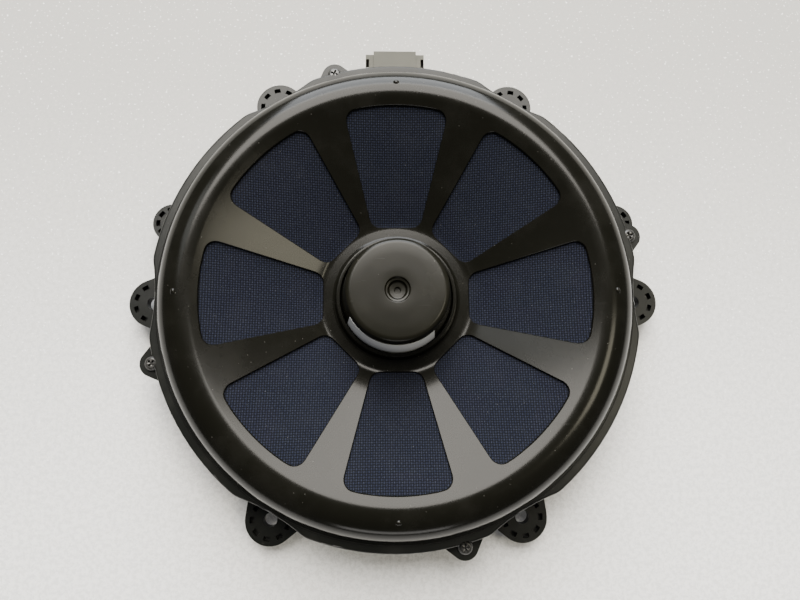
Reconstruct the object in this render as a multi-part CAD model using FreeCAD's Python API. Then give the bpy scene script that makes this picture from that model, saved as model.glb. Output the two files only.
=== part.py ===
"""Ultra-shallow 10 inch class car subwoofer driver with its motor standing in a windowed steel dish.

Frame: millimetres, +Z along the cone's axis towards the motor, +Y towards the electrical connector.
The origin is the centre of the six mounting holes, on the plane of the mounting lugs' underside.
"""
import FreeCAD, Part
import math
import os

V = FreeCAD.Vector
UP = V(0, 0, 1)

# ---- driving dimensions ----------------------------------------------------------------------
BOLT_R = 120.0            # radius of the six-hole mounting circle
BOLT_HOLE_R = 3.25        # clearance for M6
LUG_R = 12.0              # outline radius of a mounting lug
LUG_T = 5.0               # lug thickness
SPARE_LUG_R = 9.8         # outline radius of the two smaller spare lugs
SPARE_LUG_ANGLES = (20.0, 160.0)
SPARE_HOLE_R = 2.75       # clearance for M5 in the spare lugs
RING_IN = 103.0           # bore of the lower ring
RING_OUT = 111.5          # outside of the lower ring
WALL = 2.5                # moulded wall thickness
SPIGOT_R = 106.0          # spigot that drops into the panel cut-out
SPIGOT_DROP = 7.0         # how far it reaches below the mounting plane
LOWER_TOP = 15.0          # top of the lower ring's walls
SEAL_T = 1.0              # seal between the two rings
UPPER_IN = 101.0          # bore of the upper ring
UPPER_OUT = 115.2         # outline of the upper ring
SCALLOP_R = 112.2         # outline of the upper ring beside a mounting hole
UPPER_TOP = 27.0          # outer plateau of the upper ring
SEAT_Z = 28.4             # seat for the surround and the steel basket
SEAT_OUT = 110.3          # outside of that seat
SCREW_R = 117.8           # radius of the four assembly screws
SCREW_ANGLES = (15.0, 105.0, 195.0, 285.0)
EAR_R = 6.2               # outline radius of a screw ear
EAR_TOP = 19.2            # top of a screw ear
SHEET = 1.2               # steel thickness of the basket
RIM_R = 109.5             # outer edge of the steel basket
CREST_R = 104.86          # corner between the sloping face and the skirt, before it is rounded
CREST_FILLET = 13.0       # the radius that rounds it
DISH_R = 36.0             # where the dish meets the flat hub
HUB_Z = 18.4              # upper face of the flat hub
WINDOWS = 8
WINDOW_IN, WINDOW_OUT = 35.0, 88.3
WINDOW_IN_HALF = 11.7     # half its width at the inner end
WINDOW_OUT_HALF = 24.4    # half its width at the outer end
CLOTH_T = 0.5
CLOTH_LAP = 2.6           # how far the cloth is glued past a window's edge
COIL_ID = 19.05           # 1.5 inch voice coil
GAP_Z = 24.6              # underside of the pole plate
PLATE_T, PLATE_R = 5.0, 18.5
CUP_BORE = 21.2
CUP_BASE_R = 26.5         # can radius where it stands on the hub
CUP_TOP_R = 23.1          # can radius projected to its top
CUP_TOP = 45.6
CUP_FLOOR_T = 5.0
CONE_T = 0.9
CONE_LIP_R = 84.5         # where the cone's straight flank ends in a flat lip
SURROUND_IN, SURROUND_OUT = 89.0, 99.5
SURROUND_T = 1.0
TERMINAL_X = 4.0          # half the spacing of the two terminals

os.makedirs("parts", exist_ok=True)


# ---- helpers -----------------------------------------------------------------------------------
def at(radius, degrees, z=0.0):
    """The point at a polar position about the axis."""
    angle = math.radians(degrees)
    return V(radius * math.cos(angle), radius * math.sin(angle), z)


def tube(outer, inner, low, high):
    """A ring about the axis, or a disc where the inner radius is zero."""
    solid = Part.makeCylinder(outer, high - low, V(0, 0, low))
    if inner > 0:
        solid = solid.cut(Part.makeCylinder(inner, high - low, V(0, 0, low)))
    return solid


def post(radius, low, high, centre):
    """An upright cylinder at a place in plan."""
    return Part.makeCylinder(radius, high - low, V(centre.x, centre.y, low))


def block(x0, x1, y0, y1, z0, z1):
    return Part.makeBox(x1 - x0, y1 - y0, z1 - z0, V(x0, y0, z0))


def turned(shape, degrees):
    """A copy turned about the axis."""
    copy = shape.copy()
    copy.rotate(V(0, 0, 0), UP, degrees)
    return copy


def around(shape, angles):
    """Copies of a shape at several angles about the axis."""
    return [turned(shape, angle) for angle in angles]


def rounded(corners):
    """A closed wire in the XZ plane through (r, z, fillet) corners, each fillet a tangent arc."""
    starts, ends, arcs = [], [], []
    count = len(corners)
    for i, (r, z, fillet) in enumerate(corners):
        here = V(r, 0, z)
        back = V(corners[i - 1][0], 0, corners[i - 1][1]) - here
        ahead = V(corners[(i + 1) % count][0], 0, corners[(i + 1) % count][1]) - here
        back.normalize()
        ahead.normalize()
        if fillet <= 0:
            starts.append(here)
            ends.append(here)
            arcs.append(None)
            continue
        half = back.getAngle(ahead) / 2
        middle = back + ahead
        middle.normalize()
        reach = fillet / math.tan(half)
        starts.append(here + back * reach)
        ends.append(here + ahead * reach)
        arcs.append(here + middle * (fillet / math.sin(half) - fillet))
    edges = []
    for i in range(count):
        if arcs[i]:
            edges.append(Part.Arc(starts[i], arcs[i], ends[i]).toShape())
        if (starts[(i + 1) % count] - ends[i]).Length > 1e-6:
            edges.append(Part.makeLine(ends[i], starts[(i + 1) % count]))
    return Part.Wire(edges)


def spun(corners):
    """The solid made by turning a closed (r, z, fillet) outline about the axis."""
    return Part.Face(rounded(corners)).revolve(V(0, 0, 0), UP, 360)


def parallel(corners, distance):
    """The line that runs a distance below an open (r, z, fillet) line, its fillets concentric."""
    lines = []
    for (r0, z0, _), (r1, z1, _) in zip(corners, corners[1:]):
        length = math.hypot(r1 - r0, z1 - z0)
        ur, uz = (r1 - r0) / length, (z1 - z0) / length
        lines.append((r0 + uz * distance, z0 - ur * distance, ur, uz))
    lower = [(lines[0][0], lines[0][1], 0)]
    for (r0, z0, ur, uz), (r1, z1, vr, vz), corner in zip(lines, lines[1:], corners[1:-1]):
        turn = ur * vz - uz * vr
        along = ((r1 - r0) * vz - (z1 - z0) * vr) / turn
        fillet = corner[2] + math.copysign(distance, turn) if corner[2] else 0
        lower.append((r0 + ur * along, z0 + uz * along, fillet))
    last = corners[-1]
    lower.append((last[0] + lines[-1][3] * distance, last[1] - lines[-1][2] * distance, 0))
    return lower


def sheet(corners, thickness):
    """A closed outline around a formed sheet: the given upper line and a parallel lower one."""
    return list(corners) + parallel(corners, thickness)[::-1]


def upright_edges(shape, keep):
    """The vertical edges of a shape whose place in plan passes the keep test."""
    found = []
    for edge in shape.Edges:
        if len(edge.Vertexes) != 2:
            continue
        a, b = edge.Vertexes[0].Point, edge.Vertexes[1].Point
        if abs(a.x - b.x) < 1e-6 and abs(a.y - b.y) < 1e-6 and keep(math.hypot(a.x, a.y)):
            found.append(edge)
    return found


def save(node, *solids):
    """Write one node, whether it is one solid or a group of separate ones."""
    shape = solids[0] if len(solids) == 1 else Part.makeCompound(list(solids))
    shape.exportStep("parts/%s.step" % node)
    print("%-22s %2d solid(s) %9.1f mm3 valid %s" % (node, len(shape.Solids), shape.Volume, shape.isValid()))


# ---- lower ring ----------------------------------------------------------------------------------
LUG_ANGLES = [60.0 * i for i in range(6)]
POCKET_R, POCKET_TURN, POCKETS = 8.8, 20.0, 9       # the ring of small pockets in each lug
BOSS_R = 5.2
NOTCH_X, NOTCH_Z = 11.1, 3.3                        # opening for the connector in the lower ring


def flared(outline, radius, lean, base, low, high):
    """A round ear on +X whose sides run on as tangents, widening until they are inside the ring."""
    a = math.radians(lean)
    x, y = radius + outline * math.cos(a), outline * math.sin(a)
    wide = y + (x - base) / math.tan(a)
    sides = Part.makePolygon([V(x, y, low), V(base, wide, low), V(base, -wide, low), V(x, -y, low), V(x, y, low)])
    return Part.Face(sides).extrude(V(0, 0, high - low)).fuse(post(outline, low, high, V(radius, 0, 0)))


def lug(outline):
    return flared(outline, BOLT_R, 68, RING_OUT - 7, 0, LUG_T)


def lug_cuts(outline, hole_r):
    """The mounting hole and the blind core-out pockets around it, for the lug on +X."""
    centre = V(BOLT_R, 0, 0)
    cuts = [post(hole_r, -1, LUG_T + 1, centre)]
    pocket_r = POCKET_R * outline / LUG_R
    band = post(pocket_r + 1.05, 1.4, LUG_T + 1, centre).cut(post(pocket_r - 1.05, 1.4, LUG_T + 1, centre))
    slot = Part.makeBox(pocket_r + 4, 3.1, LUG_T, V(BOLT_R, -1.55, 1.4)).common(band)
    for i in range(POCKETS):
        pocket = slot.copy()
        pocket.rotate(centre, UP, POCKET_TURN + 360.0 / POCKETS * i)
        cuts.append(pocket)
    return cuts


def mounting_ring():
    plate = tube(RING_OUT + 0.5, 0, 0, LUG_T)
    plate = plate.multiFuse(around(lug(LUG_R), LUG_ANGLES) + around(lug(SPARE_LUG_R), SPARE_LUG_ANGLES))
    plate = plate.removeSplitter()
    flanks = upright_edges(plate, lambda r: abs(r - RING_OUT - 0.5) < 0.2)
    plate = plate.makeFillet(6.0, flanks)
    plate = plate.cut(Part.makeCylinder(RING_OUT - WALL, LUG_T, V(0, 0, 0)))
    floor = tube(RING_OUT, RING_IN, 0, 3.2)
    inner = tube(RING_IN + WALL, RING_IN, 0, LOWER_TOP)
    outer = tube(RING_OUT, RING_OUT - WALL, 0, LOWER_TOP)
    spigot = spun([(RING_IN, -SPIGOT_DROP, 0), (SPIGOT_R, -SPIGOT_DROP, 1.2),
                   (SPIGOT_R, 0.1, 0), (RING_IN, 0.1, 0)])
    rib = block(RING_IN + 1, RING_OUT - 1, -0.8, 0.8, 1, LOWER_TOP - 2)
    ribs = around(rib, [15.0 * i + 7.5 for i in range(24) if i not in (5, 6)])
    bosses = []
    for angle in SCREW_ANGLES:
        bosses.append(post(BOSS_R, 0, LOWER_TOP + SEAL_T, at(SCREW_R, angle)))
        bosses.append(turned(block(RING_OUT - 1.5, SCREW_R, -3.2, 3.2, 0, LOWER_TOP), angle))
    body = plate.multiFuse([floor, inner, outer, spigot] + ribs + bosses)
    cuts = []
    for angle in LUG_ANGLES:
        cuts += [turned(cut, angle) for cut in lug_cuts(LUG_R, BOLT_HOLE_R)]
    for angle in SPARE_LUG_ANGLES:
        cuts += [turned(cut, angle) for cut in lug_cuts(SPARE_LUG_R, SPARE_HOLE_R)]
    cuts += [post(2.0, 3, LOWER_TOP + 2, at(SCREW_R, angle)) for angle in SCREW_ANGLES]
    cuts.append(block(-NOTCH_X, NOTCH_X, RING_IN - 3, RING_OUT + 3, NOTCH_Z, LOWER_TOP + 1))
    return body.cut(Part.makeCompound(cuts))


# ---- upper ring ----------------------------------------------------------------------------------
def frame_ring():
    low = LOWER_TOP + SEAL_T
    cutter_r = 100.0
    body = tube(UPPER_OUT, 0, low, UPPER_TOP)
    cutter = Part.makeCylinder(cutter_r, 40, V(SCALLOP_R + cutter_r, 0, 0))
    for angle in LUG_ANGLES:
        body = body.cut(turned(cutter, angle))
    body = body.makeFillet(14.0, upright_edges(body, lambda r: abs(r - UPPER_OUT) < 0.2))
    rim = [edge for edge in body.Edges if min(v.Point.z for v in edge.Vertexes) > UPPER_TOP - 0.01]
    body = body.makeFillet(1.2, rim)
    ears = tube(SCALLOP_R + 0.1, 0, low, EAR_TOP)
    ears = ears.multiFuse(around(flared(EAR_R, SCREW_R, 52, RING_OUT - 7, low, EAR_TOP), SCREW_ANGLES))
    ears = ears.removeSplitter()
    ears = ears.makeFillet(16.0, upright_edges(ears, lambda r: abs(r - SCALLOP_R - 0.1) < 0.2))
    body = body.multiFuse([ears, tube(SEAT_OUT, UPPER_IN, UPPER_TOP - 1, SEAT_Z)])
    cuts = [Part.makeCylinder(UPPER_IN, 40, V(0, 0, 0)),
            tube(SEAT_OUT - 1.3, UPPER_IN + WALL, low - 1, UPPER_TOP - 1.4),
            tube(SEAT_OUT + 1.1, SEAT_OUT + 0.5, UPPER_TOP - 0.4, UPPER_TOP + 1)]
    for angle in SCREW_ANGLES:
        cuts.append(post(2.25, low - 1, UPPER_TOP + 1, at(SCREW_R, angle)))
        cuts.append(post(4.1, EAR_TOP, UPPER_TOP + 2, at(SCREW_R, angle)))
    return body.cut(Part.makeCompound(cuts))


def ring_screw():
    """A black pan-head screw with a cross recess, modelled on the axis at its seat height."""
    head_r, head_h = 3.4, 2.4
    head = spun([(0, EAR_TOP, 0), (head_r, EAR_TOP, 0), (head_r, EAR_TOP + head_h, 1.3),
                 (0, EAR_TOP + head_h, 0)])
    shank = spun([(0, 4.2, 0), (0.6, 4.2, 0), (1.95, 6.2, 0), (1.95, EAR_TOP + 0.1, 0),
                  (0, EAR_TOP + 0.1, 0)])
    screw = head.fuse(shank)
    arm = block(-1.9, 1.9, -0.45, 0.45, EAR_TOP + 1.0, EAR_TOP + 4)
    return screw.cut(Part.makeCompound([arm, turned(arm, 90)])).removeSplitter()


# ---- steel basket, cloth and motor ------------------------------------------------------------------
def dish_z(radius):
    """Height of the dish's upper face at a radius."""
    return HUB_Z + (radius - DISH_R) * math.tan(math.radians(22.2))


BASKET_LINE = [(22.4, HUB_Z, 0), (DISH_R, HUB_Z, 9.0), (CREST_R, dish_z(CREST_R), CREST_FILLET),
               (RIM_R + 0.1, SEAT_Z + 0.4, 0)]


def window(margin):
    """An upright prism on +X with the outline of a window, grown by a margin."""
    near, far = WINDOW_IN - margin, WINDOW_OUT + margin
    half_near, half_far = WINDOW_IN_HALF + margin, WINDOW_OUT_HALF + margin
    outline = Part.makePolygon([V(near, -half_near, 0), V(far + 1, -half_far, 0), V(far + 1, half_far, 0),
                                V(near, half_near, 0), V(near, -half_near, 0)])
    prism = Part.Face(outline).extrude(V(0, 0, 60)).common(Part.makeCylinder(far, 60))
    return prism.makeFillet(5.2 + margin, upright_edges(prism, lambda r: True))


def basket():
    shell = spun(sheet(BASKET_LINE, SHEET))
    opening = window(0)
    for angle in range(0, 360, 360 // WINDOWS):
        shell = shell.cut(turned(opening, angle))
    pip = Part.makeSphere(1.7, V(98.68, 0, 40.55))
    return shell.multiFuse(around(pip, (0, 90, 180, 270)))


def cloth_panel():
    """One cloth panel, on +X, glued to the underside of the dish behind its window."""
    underside = parallel(BASKET_LINE, SHEET + 0.02)[:3]
    underside[2] = (underside[2][0], underside[2][1], 0)
    skin = spun(sheet(underside, CLOTH_T))
    prism = window(CLOTH_LAP)
    return skin.common(prism)


def motor_cup():
    cup = spun([(CUP_BORE, HUB_Z, 0), (CUP_BASE_R, HUB_Z, 0.6), (CUP_TOP_R, CUP_TOP, 2.8),
                (5.5, CUP_TOP, 0.5), (5.2, CUP_TOP - 1.1, 0.4), (4.3, CUP_TOP - 1.3, 0.2),
                (3.7, CUP_TOP - 2.9, 0.8), (1.4, CUP_TOP - 3.0, 0.2), (1.3, CUP_TOP - 4.2, 0),
                (0, CUP_TOP - 4.2, 0), (0, CUP_TOP - CUP_FLOOR_T, 0), (CUP_BORE, CUP_TOP - CUP_FLOOR_T, 0.8)])
    return cup


def cup_wall_r(z):
    """Outside radius of the tapered can at a height."""
    return CUP_BASE_R + (CUP_TOP_R - CUP_BASE_R) * (z - HUB_Z) / (CUP_TOP - HUB_Z)


def rating_label():
    low, high, gap, skin = 21.4, 39.0, 0.02, 0.15
    strip = spun([(cup_wall_r(low) + gap, low, 0), (cup_wall_r(low) + gap + skin, low, 0),
                  (cup_wall_r(high) + gap + skin, high, 0), (cup_wall_r(high) + gap, high, 0)])
    sector = Part.makeCylinder(40, 60, V(0, 0, 0), UP, 105)
    return strip.common(turned(sector, -152))


# ---- moving assembly ------------------------------------------------------------------------------
LIP_TOP = SEAT_Z                                    # the lip carries the surround's inner flange
NECK_R = COIL_ID + 0.2 + CONE_T                     # outside of the cone's neck
NECK_Z = 3.2                                        # where the flank meets the neck
FLANK = math.atan2(LIP_TOP - NECK_Z, CONE_LIP_R - NECK_R)


def cone():
    line = [(NECK_R, NECK_Z + 5.0, 0), (NECK_R, NECK_Z, 0.9), (CONE_LIP_R, LIP_TOP, 2.5),
            (SURROUND_IN, LIP_TOP, 0)]
    return spun(sheet(line, CONE_T))


def cone_under(radius):
    """Height of the cone's lower face at a radius on its flank."""
    return NECK_Z + (radius - NECK_R) * math.tan(FLANK) - CONE_T / math.cos(FLANK)


def surround():
    low = LIP_TOP
    middle = (SURROUND_IN + SURROUND_OUT) / 2
    roll = (SURROUND_OUT - SURROUND_IN) / 2
    outer = Part.makeTorus(middle, roll + SURROUND_T, V(0, 0, low + 0.4))
    inner = Part.makeTorus(middle, roll, V(0, 0, low + 0.4))
    upper = tube(120, 0, low, low + 20)
    arch = outer.cut(inner).common(upper)
    flanges = tube(107.0, SURROUND_OUT, low, low + SURROUND_T).fuse(tube(SURROUND_IN, 85.0, low, low + SURROUND_T))
    keep_out = inner.common(upper)
    return arch.fuse(flanges).cut(keep_out).removeSplitter()


def spider():
    """The corrugated suspension disc between the coil former and the underside of the hub."""
    thickness = 0.5
    neck, outer = COIL_ID + 0.2 + thickness, WINDOW_IN - CLOTH_LAP - 0.2
    z = HUB_Z - SHEET
    line = [(neck, z + 1.2, 0), (neck, z - 0.9, 0.6), (neck + 1.2, z - 0.9, 0.6)]
    for crest_r in (22.4, 25.6):
        line += [(crest_r, z - 0.3, 0.6), (crest_r + 1.6, z - 2.3, 0.6)]
    line += [(28.9, z, 0.8), (outer, z, 0)]
    return spun(sheet(line, thickness))


def dust_cap():
    rim, rise, thick = COIL_ID - 0.05, 3.6, 0.6
    ball = (rim * rim + rise * rise) / (2 * rise)
    low = 3.0
    centre = V(0, 0, low + rise - ball)
    shell = Part.makeSphere(ball, centre).cut(Part.makeSphere(ball - thick, centre))
    shell = shell.common(Part.makeCylinder(rim, 20, V(0, 0, low)))
    return shell.fuse(tube(rim, rim - thick, low - 1.2, low + 0.6)).removeSplitter()


EYELET_R, EYELET_X = 62.0, 9.0
EYELET_Y = math.sqrt(EYELET_R ** 2 - EYELET_X ** 2)


def eyelet(side):
    """The head of a hollow rivet on the cone's lower face that ties a lead to the coil's tail."""
    ring = tube(2.0, 0.8, -0.6, -0.1)
    ring.rotate(V(0, 0, 0), V(1, 0, 0), math.degrees(FLANK))
    return ring.translated(V(side * EYELET_X, EYELET_Y, cone_under(EYELET_R)))


def coil_tail(side):
    """A flat enamelled wire cemented along the cone's lower face from the former to its eyelet."""
    start = V(side * 3.0, 21.5, cone_under(21.7) - 0.5)
    end = V(side * EYELET_X, EYELET_Y - 2.2, cone_under(EYELET_R - 2.2) - 0.55)
    return Part.makeCylinder(0.3, (end - start).Length, start, end - start)


LEAD_R = 0.8


def lead_route(side):
    """Centre line of a braided lead: from its terminal, down in a free loop, up to its eyelet."""
    return [V(side * TERMINAL_X, 99.5, 9.0), V(side * 4.6, 92.0, 8.4), V(side * 6.6, 82.0, 3.4),
            V(side * 8.4, 71.5, 3.6), V(side * EYELET_X, EYELET_Y + 0.4, 8.6),
            V(side * EYELET_X, EYELET_Y, cone_under(EYELET_R) - 1.1)]


def lead(side):
    """The tube along the route: straight runs joined by tangent arcs."""
    route = lead_route(side)
    edges, start = [], route[0]
    for back, here, ahead in zip(route, route[1:], route[2:]):
        one, two = (back - here), (ahead - here)
        shorter = min(one.Length, two.Length)
        one.normalize()
        two.normalize()
        half = one.getAngle(two) / 2
        reach = 0.45 * shorter
        radius = reach * math.tan(half)
        middle = one + two
        middle.normalize()
        tangent_in, tangent_out = here + one * reach, here + two * reach
        edges.append(Part.makeLine(start, tangent_in))
        edges.append(Part.Arc(tangent_in, here + middle * (radius / math.sin(half) - radius),
                              tangent_out).toShape())
        start = tangent_out
    edges.append(Part.makeLine(start, route[-1]))
    path = Part.Wire(edges)
    section = Part.Wire([Part.makeCircle(LEAD_R, route[0], route[1] - route[0])])
    return path.makePipeShell([section], True, False)


# ---- connector --------------------------------------------------------------------------------------
CORE_X, CORE_LOW, CORE_HIGH = 10.9, 3.5, 14.6
MOUTH_Y = 130.0
SOCKET_X, SOCKET_LOW, SOCKET_HIGH, SOCKET_FLOOR = 9.2, 5.2, 13.0, 113.0


def connector_housing():
    core = block(-CORE_X, CORE_X, RING_IN - 0.4, MOUTH_Y, CORE_LOW, CORE_HIGH)
    wings = block(-15.0, 15.0, RING_OUT + 0.7, MOUTH_Y - 1.5, LUG_T + 0.4, CORE_HIGH - 0.8)
    latch = block(-6.6, 6.6, RING_OUT + 0.7, 121.4, CORE_HIGH - 1, CORE_HIGH + 1.0)
    cuts = [block(-SOCKET_X, SOCKET_X, SOCKET_FLOOR, MOUTH_Y + 1, SOCKET_LOW, SOCKET_HIGH)]
    for side in (-1, 1):
        cuts.append(block(side * 14.1 - 0.75, side * 14.1 + 0.75, 115.0, 126.0, 0, 30))
        cuts.append(block(side * 7.6 - 0.8, side * 7.6 + 0.8, 116.0, 121.4, CORE_HIGH - 0.9, 30))
        cuts.append(block(side * TERMINAL_X - 1.45, side * TERMINAL_X + 1.45, 100, 120, 8.55, 9.45))
    return core.multiFuse([wings, latch]).cut(Part.makeCompound(cuts)).removeSplitter()


def terminal(side):
    """A blade: contact end in the socket, solder tab inside the ring."""
    x = side * TERMINAL_X
    blade = block(x - 1.4, x + 1.4, 99.6, 125.0, 8.6, 9.4)
    tip = block(x - 2, x + 2, 124.2, 126, 9.15, 10)
    return blade.cut(tip)


# ---- write every node ---------------------------------------------------------------------------------
save("mounting_ring", mounting_ring())
save("mounting_gasket", tube(RING_OUT, SPIGOT_R + 0.6, -2.5, -0.0))
save("ring_seal", tube(RING_OUT - 0.2, RING_IN + 0.4, LOWER_TOP, LOWER_TOP + SEAL_T).cut(
    block(-NOTCH_X, NOTCH_X, 90, 120, 0, 30)))
save("frame_ring", frame_ring())
screw = ring_screw()
save("ring_screws", *[screw.translated(at(SCREW_R, angle)) for angle in SCREW_ANGLES])
save("basket", basket())
panel = cloth_panel()
save("acoustic_cloth", *around(panel, range(0, 360, 360 // WINDOWS)))
save("cup_seat_ring", spun([(CUP_BASE_R + 0.12, HUB_Z, 0), (29.6, HUB_Z, 0), (28.4, HUB_Z + 5.9, 1.0),
                            (CUP_BASE_R + 0.12, HUB_Z + 5.9, 0.3)]))
save("motor_cup", motor_cup())
save("magnet", tube(18.3, 0, GAP_Z + PLATE_T, CUP_TOP - CUP_FLOOR_T))
save("pole_plate", tube(PLATE_R, 0, GAP_Z, GAP_Z + PLATE_T))
save("rating_label", rating_label())
save("surround", surround())
save("spider", spider())
save("cone", cone())
save("dust_cap", dust_cap())
save("coil_former", tube(COIL_ID + 0.15, COIL_ID, 2.2, 33.3))
save("coil_winding", tube(COIL_ID + 1.55, COIL_ID + 0.16, 21.1, 33.1))
save("coil_tails", coil_tail(-1), coil_tail(1))
save("lead_eyelets", eyelet(-1), eyelet(1))
save("tinsel_lead_left", lead(-1))
save("tinsel_lead_right", lead(1))
save("connector_housing", connector_housing())
save("connector_pins", terminal(-1), terminal(1))
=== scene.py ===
import math

import bmesh
import bpy
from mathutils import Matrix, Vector
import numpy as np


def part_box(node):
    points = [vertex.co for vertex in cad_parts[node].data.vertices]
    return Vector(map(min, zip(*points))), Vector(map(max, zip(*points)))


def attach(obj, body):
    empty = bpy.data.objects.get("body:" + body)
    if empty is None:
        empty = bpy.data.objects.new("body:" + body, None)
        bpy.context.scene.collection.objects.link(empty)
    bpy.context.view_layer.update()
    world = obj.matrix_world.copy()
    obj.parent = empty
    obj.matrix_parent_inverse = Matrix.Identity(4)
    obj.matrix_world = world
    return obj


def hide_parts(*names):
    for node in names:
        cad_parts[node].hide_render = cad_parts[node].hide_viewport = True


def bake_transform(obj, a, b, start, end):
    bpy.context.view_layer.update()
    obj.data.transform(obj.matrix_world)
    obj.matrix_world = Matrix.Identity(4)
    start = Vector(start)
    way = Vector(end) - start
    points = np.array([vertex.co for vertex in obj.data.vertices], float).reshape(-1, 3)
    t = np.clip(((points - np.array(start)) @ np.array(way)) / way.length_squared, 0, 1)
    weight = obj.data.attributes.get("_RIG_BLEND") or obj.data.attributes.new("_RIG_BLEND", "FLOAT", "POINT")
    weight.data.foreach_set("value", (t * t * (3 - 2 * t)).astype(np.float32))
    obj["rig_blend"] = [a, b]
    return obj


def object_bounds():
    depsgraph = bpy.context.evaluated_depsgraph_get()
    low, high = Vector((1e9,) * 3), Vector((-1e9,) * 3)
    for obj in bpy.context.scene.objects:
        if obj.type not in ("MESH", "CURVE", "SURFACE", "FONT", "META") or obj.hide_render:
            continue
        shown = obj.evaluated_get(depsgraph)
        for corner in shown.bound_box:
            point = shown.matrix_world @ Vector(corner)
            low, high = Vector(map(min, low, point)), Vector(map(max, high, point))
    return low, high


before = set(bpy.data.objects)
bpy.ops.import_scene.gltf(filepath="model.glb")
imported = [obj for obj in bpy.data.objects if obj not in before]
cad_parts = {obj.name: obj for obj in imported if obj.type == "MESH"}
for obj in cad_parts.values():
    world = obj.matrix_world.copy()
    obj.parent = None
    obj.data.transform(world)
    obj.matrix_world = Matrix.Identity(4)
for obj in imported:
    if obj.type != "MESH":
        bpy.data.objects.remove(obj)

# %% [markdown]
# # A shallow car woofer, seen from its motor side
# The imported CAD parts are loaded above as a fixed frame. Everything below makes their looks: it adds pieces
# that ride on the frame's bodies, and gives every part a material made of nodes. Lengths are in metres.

MM = 0.001
cad_low, cad_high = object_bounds()
FLOOR_Z = cad_low.z
print("CAD box", [round(v, 4) for v in cad_low], [round(v, 4) for v in cad_high])

# %% [markdown]
# ## Camera
# The object lies on its front with the motor up, and is looked at from almost straight above. The camera's
# turn is written in the order ZYX, so its three angles can be read one at a time: a lean back, a small roll
# to the side and hardly any spin. A fixed lens and no depth of field keep every other view honest.

# %% Camera
camera_data = bpy.data.cameras.new("bench_camera")
camera_data.sensor_width = 36.0
camera_data.lens = 27.9
camera_data.clip_start = 0.01
camera = bpy.data.objects.new("bench_camera", camera_data)
camera.rotation_mode = "ZYX"
camera.rotation_euler = (math.radians(8.57), math.radians(-1.61), math.radians(-0.14))
camera.location = (-0.0066, -0.0450, 0.3126)
bpy.context.scene.collection.objects.link(camera)
bpy.context.scene.camera = camera
print("camera at", tuple(round(v, 4) for v in camera.location))

# %% [markdown]
# ## Modelling helpers
# Most pieces of a loudspeaker are turned, pressed or moulded round one axis. So two helpers do most of the
# work. `lathe` draws a cross-section vertex by vertex, as extruding by hand does, and spins it round the
# axis. `plate` draws an outline in plan, fills it and extrudes it upwards. Both could be done by writing the
# mesh out as a list, but the operators keep the steps the same as those at the screen.

# %% Selection and finishing
def nothing_selected():
    """Leave edit mode and deselect everything, so that an operator meets only what it should."""
    if bpy.context.object and bpy.context.object.mode != "OBJECT":
        bpy.ops.object.mode_set(mode="OBJECT")
    bpy.ops.object.select_all(action="DESELECT")


def only(piece):
    """Make one piece the active and only selected object."""
    nothing_selected()
    piece.hide_set(False)
    piece.select_set(True)
    bpy.context.view_layer.objects.active = piece
    return piece


def settle(piece):
    """Put the piece's place into its mesh, so that the object itself sits at the origin."""
    only(piece)
    bpy.ops.object.transform_apply(location=True, rotation=True, scale=True)
    return piece


def closed_and_outward(piece, gap=1e-6):
    """Merge doubles, close seams and point every face outwards."""
    only(piece)
    bpy.ops.object.mode_set(mode="EDIT")
    bpy.ops.mesh.select_all(action="SELECT")
    bpy.ops.mesh.remove_doubles(threshold=gap)
    bpy.ops.mesh.normals_make_consistent(inside=False)
    bpy.ops.object.mode_set(mode="OBJECT")
    return piece


def smooth(piece, degrees=35):
    only(piece)
    bpy.ops.object.shade_smooth_by_angle(angle=math.radians(degrees))
    return piece


def apply_modifier(piece, kind, **settings):
    """Add a modifier, set it up and apply it."""
    only(piece)
    modifier = piece.modifiers.new(kind.lower(), kind)
    for key, value in settings.items():
        setattr(modifier, key, value)
    bpy.ops.object.modifier_apply(modifier=modifier.name)
    return piece


def soften(piece, width, segments=2, degrees=40):
    """Round every edge sharper than an angle, as paint and moulding do."""
    apply_modifier(piece, "BEVEL", width=width, segments=segments, limit_method="ANGLE",
                   angle_limit=math.radians(degrees), use_clamp_overlap=True, harden_normals=False)
    smooth(piece)
    return apply_modifier(piece, "WEIGHTED_NORMAL", keep_sharp=True)


def boolean(piece, other, operation="DIFFERENCE"):
    """Cut, join or intersect with another piece, which is then removed."""
    apply_modifier(piece, "BOOLEAN", object=other, operation=operation, solver="EXACT")
    bpy.data.objects.remove(other)
    return piece


# %% Drawing a chain of vertices, a lathe and a plate
def chain(name, points):
    """A new object whose mesh is one chain of edges through 3-D points, made by extruding a vertex."""
    nothing_selected()
    bpy.ops.mesh.primitive_plane_add(size=1e-4, location=points[0])
    piece = bpy.context.object
    piece.name = piece.data.name = name
    settle(piece)
    bpy.ops.object.mode_set(mode="EDIT")
    bpy.ops.mesh.select_all(action="SELECT")
    bpy.ops.mesh.merge(type="CENTER")
    for here, ahead in zip(points, points[1:]):
        step = Vector(ahead) - Vector(here)
        bpy.ops.mesh.extrude_region_move(TRANSFORM_OT_translate={"value": step})
    bpy.ops.object.mode_set(mode="OBJECT")
    return piece


def lathe(name, outline, steps=256):
    """A closed (r, z) outline in mm, spun right round the axis."""
    points = [(r * MM, 0, z * MM) for r, z in outline]
    if points[0] != points[-1]:
        points.append(points[0])
    piece = chain(name, points)
    only(piece)
    bpy.ops.object.mode_set(mode="EDIT")
    bpy.ops.mesh.select_all(action="SELECT")
    bpy.ops.mesh.spin(steps=steps, angle=2 * math.pi, center=(0, 0, 0), axis=(0, 0, 1))
    bpy.ops.object.mode_set(mode="OBJECT")
    closed_and_outward(piece)
    return smooth(piece)


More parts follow.
